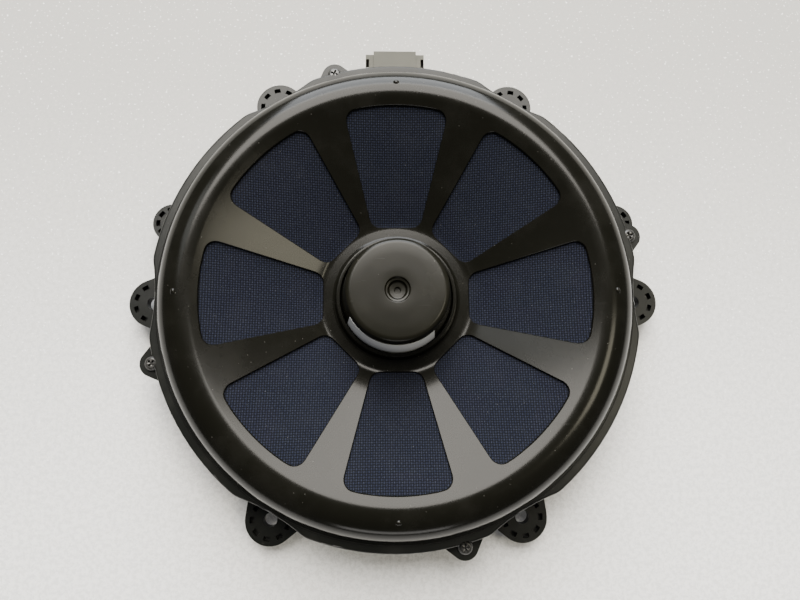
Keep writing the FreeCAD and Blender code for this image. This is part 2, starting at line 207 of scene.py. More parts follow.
def plate(name, outline, low, high):
    """A closed (x, y) outline in mm, filled and extruded from one height to another."""
    points = [(x * MM, y * MM, low * MM) for x, y in outline]
    piece = chain(name, points)
    only(piece)
    bpy.ops.object.mode_set(mode="EDIT")
    bpy.ops.mesh.select_all(action="SELECT")
    bpy.ops.mesh.edge_face_add()
    bpy.ops.mesh.extrude_region_move(TRANSFORM_OT_translate={"value": (0, 0, (high - low) * MM)})
    bpy.ops.object.mode_set(mode="OBJECT")
    return closed_and_outward(piece)


def copied(piece, name, turn=0.0, shift=(0, 0, 0)):
    """A copy with its own mesh, turned about the axis and then moved, with its place in its mesh."""
    only(piece)
    bpy.ops.object.duplicate()
    twin = bpy.context.object
    twin.name = twin.data.name = name
    twin.rotation_euler = (0, 0, math.radians(turn))
    twin.location = shift
    return settle(twin)


# %% [markdown]
# ## Rounded lines
# A pressed or moulded corner is never sharp. `rounded` takes corners that each carry a fillet radius and
# returns points along the straight runs and the tangent arcs. `parallel` shifts such a line sideways by a
# sheet's thickness and keeps the arcs concentric, which is how the inside of a pressing follows its outside.

# %% Fillets and parallel lines
def rounded(corners, closed=False, arc_steps=6):
    """Points along a line of (a, b, fillet) corners."""
    points, count = [], len(corners)
    for i, (a, b, fillet) in enumerate(corners):
        if fillet <= 0 or (not closed and i in (0, count - 1)):
            points.append((a, b))
            continue
        here = Vector((a, b))
        back = (Vector(corners[i - 1][:2]) - here).normalized()
        ahead = (Vector(corners[(i + 1) % count][:2]) - here).normalized()
        half = back.angle(ahead) / 2
        centre = here + (back + ahead).normalized() * (fillet / math.sin(half))
        start = here + back * (fillet / math.tan(half)) - centre
        end = here + ahead * (fillet / math.tan(half)) - centre
        sweep = start.angle_signed(end)
        for k in range(arc_steps + 1):
            turn = -sweep * k / arc_steps
            c, s = math.cos(turn), math.sin(turn)
            points.append((centre.x + start.x * c - start.y * s, centre.y + start.x * s + start.y * c))
    return points


def parallel(corners, distance):
    """The (a, b, fillet) line that runs a distance to the right-hand side of an open one."""
    runs = []
    for (a0, b0, _), (a1, b1, _) in zip(corners, corners[1:]):
        length = math.hypot(a1 - a0, b1 - b0)
        ua, ub = (a1 - a0) / length, (b1 - b0) / length
        runs.append((a0 + ub * distance, b0 - ua * distance, ua, ub))
    line = [(runs[0][0], runs[0][1], 0)]
    for (a0, b0, ua, ub), (a1, b1, va, vb), corner in zip(runs, runs[1:], corners[1:-1]):
        turn = ua * vb - ub * va
        along = ((a1 - a0) * vb - (b1 - b0) * va) / turn
        line.append((a0 + ua * along, b0 + ub * along, corner[2] + math.copysign(distance, turn)))
    last = corners[-1]
    line.append((last[0] + runs[-1][3] * distance, last[1] - runs[-1][2] * distance, 0))
    return line


def height_on(line, radius):
    """Height of an (r, z) line at a radius, by straight interpolation."""
    for (r0, z0), (r1, z1) in zip(line, line[1:]):
        if r0 <= radius <= r1 and r1 > r0:
            return z0 + (z1 - z0) * (radius - r0) / (r1 - r0)
    return line[0][1] if radius < line[0][0] else line[-1][1]


def densified(points, longest):
    """The same line with extra points on any run longer than the given length."""
    dense = [points[0]]
    for (a0, b0), (a1, b1) in zip(points, points[1:]):
        pieces = max(1, math.ceil(math.hypot(a1 - a0, b1 - b0) / longest))
        dense += [(a0 + (a1 - a0) * k / pieces, b0 + (b1 - b0) * k / pieces) for k in range(1, pieces + 1)]
    return dense

# %% [markdown]
# ## Room: floor, soft lights and a plain sky
# Black paint has no shade of its own: it shows what it reflects. So the light is planned as a studio would
# plan it. Two broad soft panels stand beyond the connector, one low and one high, and wash the side of
# the dish that faces them. Two weaker panels stand left and right, one warm and one cool. Only a faint, low
# one stands on the near side, so most of the dish stays dark. The pale floor is one large plane.

# %% Floor
FLOOR_SIZE = 6.0
nothing_selected()
bpy.ops.mesh.primitive_plane_add(size=FLOOR_SIZE, location=(0, 0, FLOOR_Z))
floor = bpy.context.object
floor.name = "bench"
settle(floor)
print("floor at", round(FLOOR_Z, 4))


# %% Lights
def panel(name, azimuth, elevation, distance, size, power, colour):
    """A soft rectangular light that looks at the object from a direction."""
    light = bpy.data.lights.new(name, "AREA")
    light.shape = "RECTANGLE"
    light.size, light.size_y = size
    light.energy = power
    light.color = colour
    lamp = bpy.data.objects.new(name, light)
    a, e = math.radians(azimuth), math.radians(elevation)
    away = Vector((math.cos(a) * math.cos(e), math.sin(a) * math.cos(e), math.sin(e)))
    lamp.location = away * distance
    lamp.rotation_euler = away.to_track_quat("Z", "Y").to_euler()
    bpy.context.scene.collection.objects.link(lamp)
    return lamp


panel("window_low", 91, 27, 1.7, (1.35, 1.02), 66, (0.94, 0.97, 1.0))
panel("window_high", 91, 58, 1.7, (1.25, 1.02), 76, (1.0, 0.955, 0.88))
panel("near_bounce", -90, 12, 1.5, (0.8, 0.25), 3.5, (1.0, 0.97, 0.93))
panel("warm_side", -6, 60, 1.6, (0.40, 0.40), 6.5, (1.0, 0.93, 0.72))
panel("cool_side", 146, 54, 1.6, (0.30, 0.50), 2.2, (0.98, 1.0, 0.98))

sky = bpy.data.worlds.new("plain_sky")
sky.use_nodes = True
sky.node_tree.nodes["Background"].inputs["Color"].default_value = (0.93, 0.95, 1.0, 1)
sky.node_tree.nodes["Background"].inputs["Strength"].default_value = 0.14
bpy.context.scene.world = sky

# %% [markdown]
# ## Shader groups
# Several finishes share the same small effects: moulded grain, orange-peel in paint, dust that settles from
# above and wear on edges. Each is built once as a group with named inputs and outputs, and each material
# then sets its own values. A group only puts out colours, masks, values and normals, never a shader.

# %% A small kit for node trees
def socket(tree, name, direction, kind="NodeSocketFloat", value=None):
    made = tree.interface.new_socket(name=name, in_out=direction, socket_type=kind)
    if value is not None:
        made.default_value = value
    return made


def node(tree, kind, links=None, **settings):
    """A node with its settings, its input values and its links from other sockets."""
    made = tree.nodes.new(kind)
    for key, value in settings.items():
        setattr(made, key, value)
    for key, value in (links or {}).items():
        if isinstance(value, bpy.types.NodeSocket):
            tree.links.new(value, made.inputs[key])
        else:
            made.inputs[key].default_value = value
    return made


def maths(tree, operation, a, b=0.0, clamp=False):
    return node(tree, "ShaderNodeMath", {0: a, 1: b}, operation=operation, use_clamp=clamp).outputs[0]


def between(tree, value, low, high):
    """A value stretched so that low becomes 0 and high becomes 1, smoothly."""
    made = node(tree, "ShaderNodeMapRange", {"Value": value, "From Min": low, "From Max": high},
                interpolation_type="SMOOTHSTEP")
    return made.outputs["Result"]


def noise(tree, place, scale, detail=3.0, roughness=0.55):
    made = node(tree, "ShaderNodeTexNoise", {"Vector": place, "Scale": scale, "Detail": detail,
                                             "Roughness": roughness})
    return made.outputs["Fac"]


def mix(tree, share, a, b):
    """A colour mixed from two, each a socket or a tuple."""
    made = node(tree, "ShaderNodeMix", data_type="RGBA")
    for key, value in ((0, share), (6, a), (7, b)):
        if isinstance(value, bpy.types.NodeSocket):
            tree.links.new(value, made.inputs[key])
        elif isinstance(value, tuple):
            made.inputs[key].default_value = (*value, 1.0) if len(value) == 3 else value
        else:
            made.inputs[key].default_value = value
    return made.outputs[2]


def group(name, inputs, outputs):
    """An empty node group, its group input and its group output."""
    tree = bpy.data.node_groups.new(name, "ShaderNodeTree")
    for label, kind, value in inputs:
        socket(tree, label, "INPUT", kind, value)
    for label, kind in outputs:
        socket(tree, label, "OUTPUT", kind)
    return tree, tree.nodes.new("NodeGroupInput"), tree.nodes.new("NodeGroupOutput")


FLOAT, VECTOR = "NodeSocketFloat", "NodeSocketVector"


# %% Surface texture: grain, orange peel and slow unevenness in one height
def grain_group():
    """Height and roughness of a moulded or painted skin. Place is in metres."""
    tree, into, out = group("skin_grain",
                            [("Place", VECTOR, None), ("Fine Scale", FLOAT, 2500.0), ("Fine", FLOAT, 0.5),
                             ("Peel Scale", FLOAT, 350.0), ("Peel", FLOAT, 0.5)],
                            [("Height", FLOAT), ("Uneven", FLOAT)])
    place = into.outputs["Place"]
    fine = noise(tree, place, into.outputs["Fine Scale"], 2.0)
    peel = noise(tree, place, into.outputs["Peel Scale"], 2.0)
    slow = noise(tree, place, 28.0, 4.0, 0.6)
    height = maths(tree, "ADD", maths(tree, "MULTIPLY", fine, into.outputs["Fine"]),
                   maths(tree, "MULTIPLY", peel, into.outputs["Peel"]))
    tree.links.new(height, out.inputs["Height"])
    tree.links.new(slow, out.inputs["Uneven"])
    return tree


# %% Dust, lint and fine scratches
def dust_group():
    """Masks for dust specks and film on upward faces, and for hair scratches."""
    tree, into, out = group("dust_and_scratches",
                            [("Place", VECTOR, None), ("Specks", FLOAT, 0.5), ("Film", FLOAT, 0.3),
                             ("Scratches", FLOAT, 0.3)],
                            [("Dust", FLOAT), ("Scratch", FLOAT)])
    place = into.outputs["Place"]
    cells = node(tree, "ShaderNodeTexVoronoi", {"Vector": place, "Scale": 420.0}, feature="F1")
    pick = noise(tree, cells.outputs["Position"], 900.0, 0.0)
    near = maths(tree, "SUBTRACT", 1.0, between(tree, cells.outputs["Distance"], 0.03, 0.10))
    speck = maths(tree, "MULTIPLY", near, between(tree, pick, 0.60, 0.66))
    speck = maths(tree, "MULTIPLY", speck, into.outputs["Specks"])
    cloudy = between(tree, noise(tree, place, 60.0, 5.0, 0.65), 0.42, 0.75)
    up = node(tree, "ShaderNodeSeparateXYZ", {0: node(tree, "ShaderNodeNewGeometry").outputs["Normal"]})
    film = maths(tree, "MULTIPLY", cloudy, between(tree, up.outputs["Z"], 0.1, 0.95))
    film = maths(tree, "MULTIPLY", film, into.outputs["Film"])
    tree.links.new(maths(tree, "MAXIMUM", speck, film), out.inputs["Dust"])
    stretched = node(tree, "ShaderNodeMapping", {"Vector": place, "Rotation": (0.3, 0.2, 0.9),
                                                 "Scale": (40.0, 900.0, 40.0)})
    line = between(tree, noise(tree, stretched.outputs[0], 1.0, 2.0, 0.5), 0.70, 0.74)
    line = maths(tree, "MULTIPLY", line, between(tree, noise(tree, place, 45.0, 2.0), 0.5, 0.7))
    tree.links.new(maths(tree, "MULTIPLY", line, into.outputs["Scratches"]), out.inputs["Scratch"])
    return tree


# %% Wear along edges
def edge_group():
    """A mask that is high where the surface turns sharply outwards, broken up by noise."""
    tree, into, out = group("edge_wear", [("Place", VECTOR, None), ("Amount", FLOAT, 0.5)],
                            [("Edge", FLOAT)])
    point = node(tree, "ShaderNodeNewGeometry").outputs["Pointiness"]
    sharp = between(tree, point, 0.53, 0.60)
    broken = between(tree, noise(tree, into.outputs["Place"], 300.0, 4.0, 0.7), 0.35, 0.65)
    edge = maths(tree, "MULTIPLY", maths(tree, "MULTIPLY", sharp, broken), into.outputs["Amount"])
    tree.links.new(edge, out.inputs["Edge"])
    return tree


GRAIN, DUST, EDGE = grain_group(), dust_group(), edge_group()
print("groups", [tree.name for tree in bpy.data.node_groups])

# %% [markdown]
# ## Materials
# Each finish starts from the same short recipe: a Principled shader whose colour moves gently between two
# tones, whose roughness varies with the same slow noise, and whose normal comes from the grain's height.
# Dust and wear are then mixed over it. Numbers that are the same all over the surface are set on the
# shader's own sockets.

# %% The common recipe
def finish_of(name, dark, light, rough, rough_swing=0.08, metallic=0.0, coat=0.0, coat_rough=0.1,
              fine=(2500.0, 0.5), peel=(350.0, 0.5), bump=0.1, relief=0.00005, specks=0.4, film=0.2,
              scratches=0.2, wear=0.0, wear_colour=(0.35, 0.34, 0.32), specular=0.5, sheen=0.0,
              dust_colour=(0.42, 0.40, 0.36)):
    """A material with two tones, grain, dust, scratches and worn edges."""
    material = bpy.data.materials.new(name)
    material.use_nodes = True
    tree = material.node_tree
    shader = tree.nodes["Principled BSDF"]
    place = node(tree, "ShaderNodeTexCoord").outputs["Object"]
    skin = node(tree, "ShaderNodeGroup", node_tree=GRAIN)
    dust = node(tree, "ShaderNodeGroup", node_tree=DUST)
    for made in (skin, dust):
        tree.links.new(place, made.inputs["Place"])
    skin.inputs["Fine Scale"].default_value, skin.inputs["Fine"].default_value = fine
    skin.inputs["Peel Scale"].default_value, skin.inputs["Peel"].default_value = peel
    dust.inputs["Specks"].default_value = specks
    dust.inputs["Film"].default_value = film
    dust.inputs["Scratches"].default_value = scratches
    uneven = skin.outputs["Uneven"]
    colour = mix(tree, uneven, dark, light)
    if wear:
        edge = node(tree, "ShaderNodeGroup", node_tree=EDGE)
        tree.links.new(place, edge.inputs["Place"])
        edge.inputs["Amount"].default_value = wear
        colour = mix(tree, edge.outputs["Edge"], colour, wear_colour)
    colour = mix(tree, dust.outputs["Dust"], colour, dust_colour)
    tree.links.new(colour, shader.inputs["Base Color"])
    swing = maths(tree, "MULTIPLY", maths(tree, "SUBTRACT", uneven, 0.5), rough_swing * 2)
    level = maths(tree, "ADD", swing, rough)
    level = maths(tree, "ADD", level, maths(tree, "MULTIPLY", dust.outputs["Dust"], 0.35), clamp=True)
    level = maths(tree, "ADD", level, maths(tree, "MULTIPLY", dust.outputs["Scratch"], 0.15), clamp=True)
    tree.links.new(level, shader.inputs["Roughness"])
    height = maths(tree, "SUBTRACT", skin.outputs["Height"], maths(tree, "MULTIPLY", dust.outputs["Scratch"], 0.4))
    raised = node(tree, "ShaderNodeBump", {"Height": height, "Strength": bump, "Distance": relief})
    tree.links.new(raised.outputs["Normal"], shader.inputs["Normal"])
    shader.inputs["Metallic"].default_value = metallic
    shader.inputs["Specular IOR Level"].default_value = specular
    if coat:
        shader.inputs["Coat Weight"].default_value = coat
        shader.inputs["Coat Roughness"].default_value = coat_rough
    if sheen:
        shader.inputs["Sheen Weight"].default_value = sheen
        shader.inputs["Sheen Roughness"].default_value = 0.4
    return material


def wear_material(piece, material):
    """Give a piece one material in its only slot."""
    piece.data.materials.clear()
    piece.data.materials.append(material)
    return piece


# %% Paints, plastics and metals of this driver
basket_black = finish_of("basket_black_paint", (0.0035, 0.0034, 0.0022), (0.0050, 0.0048, 0.0034), 0.17,
                         rough_swing=0.03, fine=(1800.0, 0.15), peel=(240.0, 0.4), bump=0.10, specks=0.2,
                         film=0.006, scratches=0.4, specular=0.165)
cup_black = finish_of("motor_can_black_paint", (0.005, 0.0048, 0.003), (0.008, 0.0076, 0.005), 0.27,
                      rough_swing=0.03, fine=(2400.0, 0.4), peel=(300.0, 0.5), bump=0.25, specks=0.3,
                      film=0.008, scratches=0.4, specular=0.17)
ring_black = finish_of("ring_moulded_nylon", (0.0045, 0.0050, 0.0042), (0.0075, 0.0080, 0.0070), 0.33,
                       rough_swing=0.06, fine=(3200.0, 0.6), peel=(700.0, 0.4), bump=0.25, specks=0.2,
                       film=0.012, scratches=0.25, specular=0.19)
screw_black = finish_of("screw_black_zinc", (0.010, 0.010, 0.010), (0.022, 0.022, 0.021), 0.3,
                        metallic=0.3, fine=(4000.0, 0.5), bump=0.3, specks=0.2, film=0.05, scratches=0.5,
                        wear=0.5)
socket_grey = finish_of("socket_grey_nylon", (0.085, 0.083, 0.070), (0.12, 0.117, 0.100), 0.6, fine=(3000.0, 0.6),
                        bump=0.4, specks=0.3, film=0.08, scratches=0.2, specular=0.05)
label_white = finish_of("label_silver_film", (0.66, 0.68, 0.69), (0.90, 0.91, 0.91), 0.45,
                        fine=(1500.0, 0.5), bump=0.2, specks=0.6, film=0.25, scratches=0.5)
rubber_black = finish_of("surround_rubber", (0.014, 0.014, 0.014), (0.024, 0.024, 0.023), 0.55,
                         fine=(1500.0, 0.7), peel=(250.0, 0.3), bump=0.4, specks=0.3, film=0.15,
                         scratches=0.1, sheen=0.1)
cone_pulp = finish_of("cone_pressed_pulp", (0.012, 0.012, 0.012), (0.030, 0.029, 0.028), 0.75,
                      rough_swing=0.1, fine=(1300.0, 1.0), peel=(500.0, 0.8), bump=0.9, relief=0.0001,
                      specks=0.4, film=0.1, scratches=0.0, sheen=0.2)
foam_black = finish_of("gasket_foam", (0.010, 0.010, 0.010), (0.030, 0.030, 0.030), 0.95, fine=(1600.0, 1.2),
                       peel=(900.0, 1.0), bump=1.0, relief=0.0002, specks=0.3, film=0.1, scratches=0.0)
nickel = finish_of("magnet_nickel", (0.55, 0.53, 0.49), (0.66, 0.64, 0.60), 0.22, metallic=1.0, bump=0.1)
plate_zinc = finish_of("pole_plate_zinc", (0.40, 0.41, 0.43), (0.52, 0.53, 0.55), 0.35, metallic=1.0, bump=0.3)
former_foil = finish_of("former_aluminium", (0.55, 0.55, 0.56), (0.68, 0.68, 0.68), 0.35, metallic=1.0, bump=0.2)
tin_brass = finish_of("terminal_tin", (0.55, 0.52, 0.42), (0.68, 0.65, 0.55), 0.3, metallic=1.0, bump=0.2)
print("materials", len(bpy.data.materials))

# %% [markdown]
# ## The pressed steel dish
# The rear of the driver is one pressing: a flat hub, a sloping windowed face, and a broadly rounded edge
# that leaves room for the surround and runs down to a lip. It could be cut from the CAD mesh, but reflections in gloss
# paint show every facet, so it is spun afresh from its line in 384 steps. The line is the same as the
# sheet's, and its underside runs parallel to it. The eight windows are punched by a cutter whose sides lean
# out near the surface, because a punch draws the edge down into a small bright radius.

# %% The dish's line
SHEET = 1.2
HUB_Z, DISH_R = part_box("cup_seat_ring")[0].z / MM, 36.0
DISH_LEAN = 22.2                                    # degrees
SLOPE = math.tan(math.radians(DISH_LEAN))
CREST_R, CREST_FILLET, LIP_R, LIP_Z = 104.86, 13.0, 109.6, 28.8
dish_corners = [(22.4, HUB_Z, 0), (DISH_R, HUB_Z, 9.0),
                (CREST_R, HUB_Z + (CREST_R - DISH_R) * SLOPE, CREST_FILLET), (LIP_R, LIP_Z, 0)]
DISH_TOP = rounded(dish_corners, arc_steps=24)
DISH_UNDER = rounded(parallel(dish_corners, SHEET), arc_steps=24)
print("dish line", len(DISH_TOP), "points, under", len(DISH_UNDER))

# %% The dish's shell
def sheet_outline(top, under, gap):
    """A closed outline round a sheet whose outer edge is rounded over."""
    edge = [(top[-1][0] + 0.12, top[-1][1] - 0.3), (under[-1][0] + 0.35, under[-1][1] + 0.12)]
    return densified(top, gap) + edge + densified(under[::-1], gap)


basket_piece = lathe("steel_dish", sheet_outline(DISH_TOP, DISH_UNDER, 4.0), steps=384)
print("shell", len(basket_piece.data.polygons), "faces")

# %% The window's outline and its cutter
WINDOW_NEAR, WINDOW_FAR = 35.0, 88.3
NEAR_HALF, FAR_HALF = 11.7, 24.4
PUNCH = ((0.0, -6.0), (0.0, -0.40), (0.07, -0.22), (0.22, -0.07), (0.62, 0.33), (0.9, 3.0))


def window_outline(grow, steps=7):
    """The (x, y) outline of the window on +X, grown by an amount, its far side an arc about the axis."""
    far = WINDOW_FAR + grow
    near_half, far_half = NEAR_HALF + grow, FAR_HALF + grow
    corner_near, corner_far = 5.2 + grow, 5.0 + grow
    chord = math.sqrt(far ** 2 - far_half ** 2)
    sagitta = [(math.sqrt(far ** 2 - (far_half * k / 6) ** 2), far_half * k / 6) for k in range(-5, 6)]
    corners = [(WINDOW_NEAR - grow, near_half, corner_near), (WINDOW_NEAR - grow, -near_half, corner_near),
               (chord, -far_half, corner_far)]
    corners += [(x, y, 0) for x, y in sagitta[1:-1]]
    corners += [(chord, far_half, corner_far)]
    outline = rounded(corners, closed=True, arc_steps=steps)
    return densified(outline + outline[:1], 1.6)[:-1]


def grown(outline, amount):
    """The same points, each moved outwards along the outline's own normal."""
    moved = []
    for back, here, ahead in zip(outline[-1:] + outline[:-1], outline, outline[1:] + outline[:1]):
        along = (Vector(ahead) - Vector(back)).normalized()
        moved.append((here[0] - along.y * amount, here[1] + along.x * amount))
    return moved


def window_cutter(name, grow_and_rise):
    """A prism that follows the dish's slope: one loop of vertices for each (growth, rise) pair."""
    base = window_outline(0.0)
    wide, tall = (max(p[k] for p in grown(base, 1.0)) - max(p[k] for p in base) for k in (0, 1))
    outwards = 1 if wide > 0 and tall > 0 else -1
    loops = [[(x * MM, y * MM, (height_on(DISH_TOP, math.hypot(x, y)) + rise) * MM)
              for x, y in grown(base, outwards * grow)] for grow, rise in grow_and_rise]
    made = chain(name, loops[0] + [loops[0][0]])
    closed_and_outward(made)
    bpy.ops.object.mode_set(mode="EDIT")
    bpy.ops.mesh.edge_face_add()
    for before, after in zip(loops, loops[1:]):
        bpy.ops.mesh.extrude_region_move()
        mesh = bmesh.from_edit_mesh(made.data)
        for vertex in [v for v in mesh.verts if v.select]:
            same = min(range(len(before)), key=lambda k: (Vector(before[k]) - vertex.co).length)
            vertex.co = after[same]
        bmesh.update_edit_mesh(made.data)
    bpy.ops.object.mode_set(mode="OBJECT")
    return closed_and_outward(made, 1e-8)


# %% Punching the eight windows
WINDOWS = 8
cutter = window_cutter("window_cutter", PUNCH)
for k in range(WINDOWS):
    boolean(basket_piece, copied(cutter, f"window_cutter_{k}", 360 / WINDOWS * k))
bpy.data.objects.remove(cutter)
closed_and_outward(basket_piece, 1e-7)
smooth(basket_piece, 50)
print("dish with windows", len(basket_piece.data.polygons), "faces")

# %% [markdown]
# Four little pips are pressed outwards on the dish's rounded shoulder. They are used to turn the pressing to its
# place in the rings. Each is a flattened dome whose foot sinks into the sheet.

# %% Pips on the shoulder
PIP_R, PIP_Z, PIP_SIZE = 98.7, 40.6, 1.6


def pip(name, turn):
    nothing_selected()
    bpy.ops.mesh.primitive_uv_sphere_add(segments=24, ring_count=12, radius=PIP_SIZE * MM,
                                         location=(PIP_R * MM, 0, PIP_Z * MM))
    dome = bpy.context.object
    dome.scale = (0.9, 1.15, 1.0)
    settle(dome)
    dome.name = name
    dome.rotation_euler = (0, 0, math.radians(turn))
    return smooth(settle(dome), 60)


for turn in (0, 90, 180, 270):
    boolean(basket_piece, pip(f"pip_{turn}", turn), "UNION")
smooth(basket_piece, 30)
apply_modifier(basket_piece, "WEIGHTED_NORMAL", keep_sharp=True)
wear_material(basket_piece, basket_black)
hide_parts("basket")
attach(basket_piece, "frame")
print(basket_piece.name, len(basket_piece.data.polygons), "faces")

# %% [markdown]
# ## The motor can and its collar
# The can is drawn from thick steel plate: a flat top with a soft shoulder, a slight taper, and a stepped
# centring recess in the middle. A raised collar holds its foot. Both are spun from their outlines.

# %% Motor can
CUP_BORE, CUP_BASE_R, CUP_TOP_R = 21.2, 26.5, 23.1
CUP_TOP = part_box("motor_cup")[1].z / MM
CUP_FLOOR = CUP_TOP - 5.0
cup_corners = [(0, CUP_FLOOR, 0), (CUP_BORE, CUP_FLOOR, 0.8), (CUP_BORE, HUB_Z, 0), (CUP_BASE_R, HUB_Z, 0.6),
               (CUP_TOP_R, CUP_TOP, 2.8), (5.7, CUP_TOP, 0.45), (5.3, CUP_TOP - 1.1, 0.4),
               (4.4, CUP_TOP - 1.25, 0.25), (3.8, CUP_TOP - 2.9, 0.8), (1.5, CUP_TOP - 3.0, 0.2),
               (1.3, CUP_TOP - 4.2, 0.1), (0, CUP_TOP - 4.2, 0)]
can = lathe("motor_can", densified(rounded(cup_corners, arc_steps=8), 5.0), steps=192)
wear_material(can, cup_black)
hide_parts("motor_cup")
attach(can, "frame")

# %% Seat collar
COLLAR_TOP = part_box("cup_seat_ring")[1].z / MM
collar_corners = [(26.62, HUB_Z, 0), (26.62, COLLAR_TOP, 0.3), (28.4, COLLAR_TOP, 0.45), (29.4, HUB_Z + 0.5, 0.6),
                  (30.6, HUB_Z + 0.02, 0)]
collar = lathe("can_collar", rounded(collar_corners, arc_steps=6), steps=192)
wear_material(collar, basket_black)
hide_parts("cup_seat_ring")
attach(collar, "frame")
print("can and collar", len(can.data.polygons), len(collar.data.polygons), "faces")

# %% [markdown]
# ## Acoustic cloth
# One bolt of plain-weave cloth is cut into eight panels and glued behind the windows, all with the threads
# running the same way. A bump texture would do from afar, but the threads are big enough to see, so each
# panel is a fine grid whose height follows the weave: a warp thread along Y and a weft thread along X pass
# over and under each other by turns. The same height is kept as a vertex attribute, and the material reads
# it to paint shade into the gaps between the threads.

# %% The cloth's material
def cloth_material():
    material = bpy.data.materials.new("acoustic_cloth_weave")
    material.use_nodes = True
    tree = material.node_tree
    shader = tree.nodes["Principled BSDF"]
    place = node(tree, "ShaderNodeTexCoord").outputs["Object"]
    crown = node(tree, "ShaderNodeAttribute", attribute_name="thread_height").outputs["Fac"]
    along = node(tree, "ShaderNodeAttribute", attribute_name="thread_way").outputs["Fac"]
    # One noise gives the fibres' fluffy bump and the mask of the painted highlights on the threads.
    fluff_and_highlight_noise = noise(tree, place, 3800.0, 3.0, 0.6)
    cloudy = noise(tree, place, 45.0, 4.0, 0.6)
    warp = mix(tree, cloudy, (0.0070, 0.0092, 0.023), (0.0095, 0.0122, 0.029))
    weft = mix(tree, cloudy, (0.0034, 0.0046, 0.013), (0.0048, 0.0064, 0.017))
    thread = mix(tree, along, weft, warp)
    # Painted highlight: bright specks on the threads, scattered by the noise, stand in for light glinting off the
    # fibres.
    thread_with_painted_highlights = mix(tree, between(tree, fluff_and_highlight_noise, 0.45, 0.75), thread, (0.042, 0.048, 0.064))
    # Painted shade: where the woven height is low, in the gaps between threads, the colour is darkened towards near
    # black.
    colour = mix(tree, between(tree, crown, 0.40, 1.0), (0.0012, 0.0016, 0.003), thread_with_painted_highlights)
    dust = node(tree, "ShaderNodeGroup", {"Place": place, "Specks": 0.2, "Film": 0.006, "Scratches": 0.0},
                node_tree=DUST)
    colour = mix(tree, dust.outputs["Dust"], colour, (0.30, 0.30, 0.30))
    tree.links.new(colour, shader.inputs["Base Color"])
    shader.inputs["Roughness"].default_value = 0.8
    shader.inputs["Specular IOR Level"].default_value = 0.1
    shader.inputs["Sheen Weight"].default_value = 0.05
    shader.inputs["Sheen Roughness"].default_value = 0.35
    shader.inputs["Sheen Tint"].default_value = (0.75, 0.82, 1.0, 1)
    raised = node(tree, "ShaderNodeBump", {"Height": fluff_and_highlight_noise, "Strength": 0.5, "Distance": 0.00006})
    tree.links.new(raised.outputs["Normal"], shader.inputs["Normal"])
    return material


cloth = cloth_material()

# %% One panel of cloth
THREAD_PITCH = 1.1
THREAD_RISE = 0.09
CELLS_PER_THREAD = 4
CLOTH_LAP = 2.3
CLOTH_GAP = 0.10


def weave(x, y):
    """Height from -1 to 1 of a plain weave at (x, y) in mm, and whether the warp (1) or weft (0) is on top."""
    u, v = math.pi * x / THREAD_PITCH, math.pi * y / THREAD_PITCH
    over = math.sin(u) * math.sin(v)
    warp = abs(math.sin(u)) ** 0.5 * (0.45 + 0.55 * math.copysign(abs(over) ** 0.6, over))
    weft = abs(math.sin(v)) ** 0.5 * (0.45 - 0.55 * math.copysign(abs(over) ** 0.6, over))
    return max(warp, weft), 1.0 if warp > weft else 0.0


def inside(point, outline):
    """Whether a point lies inside a closed outline, by counting crossings."""
    x, y, hit = point[0], point[1], False
    for (x0, y0), (x1, y1) in zip(outline, outline[1:] + outline[:1]):
        if (y0 > y) != (y1 > y) and x < x0 + (x1 - x0) * (y - y0) / (y1 - y0):
            hit = not hit
    return hit


def cloth_panel(number):
    """The panel behind one window, cut from a grid that lies square to the axes."""
    c, s = math.cos(math.tau * number / WINDOWS), math.sin(math.tau * number / WINDOWS)
    outline = [(x * c - y * s, x * s + y * c) for x, y in window_outline(CLOTH_LAP, 4)]
    low = [min(p[k] for p in outline) for k in (0, 1)]
    high = [max(p[k] for p in outline) for k in (0, 1)]
    size = [high[k] - low[k] for k in (0, 1)]
    cells = [round(side / THREAD_PITCH * CELLS_PER_THREAD) for side in size]
    nothing_selected()
    bpy.ops.mesh.primitive_grid_add(x_subdivisions=cells[0], y_subdivisions=cells[1], size=1.0,
                                    location=((low[0] + high[0]) / 2 * MM, (low[1] + high[1]) / 2 * MM, 0))
    panel_piece = bpy.context.object
    panel_piece.name = panel_piece.data.name = f"cloth_panel_{number + 1}"
    panel_piece.scale = (size[0] * MM, size[1] * MM, 1)
    settle(panel_piece)
    bpy.ops.object.mode_set(mode="EDIT")
    bpy.ops.mesh.select_all(action="DESELECT")
    mesh = bmesh.from_edit_mesh(panel_piece.data)
    for vertex in mesh.verts:
        if not inside((vertex.co.x / MM, vertex.co.y / MM), outline):
            vertex.select_set(True)
    mesh.select_flush_mode()
    bpy.ops.mesh.delete(type="VERT")
    bpy.ops.object.mode_set(mode="OBJECT")
    mesh = panel_piece.data
    height = mesh.attributes.new("thread_height", "FLOAT", "POINT")
    way = mesh.attributes.new("thread_way", "FLOAT", "POINT")
    for i, vertex in enumerate(mesh.vertices):
        x, y = vertex.co.x / MM, vertex.co.y / MM
        rise, on_top = weave(x, y)
        under = height_on(DISH_UNDER, math.hypot(x, y))
        vertex.co.z = (under - CLOTH_GAP - THREAD_RISE + THREAD_RISE * rise) * MM
        height.data[i].value = rise
        way.data[i].value = on_top
    smooth(panel_piece, 180)
    wear_material(panel_piece, cloth)
    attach(panel_piece, "frame")
    return panel_piece


cloth_panels = [cloth_panel(k) for k in range(WINDOWS)]
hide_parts("acoustic_cloth")
print("cloth", sum(len(p.data.polygons) for p in cloth_panels), "faces in", WINDOWS, "panels")

# %% [markdown]
# ## Rings, connector and screws
# The two plastic rings and the connector housing already have the right ribs, pockets and lugs in the CAD.
# Only their edges are too sharp for mouldings. So each is a copy of its CAD mesh whose flat areas are
# dissolved back into single faces, and whose edges are then rounded by a fraction of a millimetre.

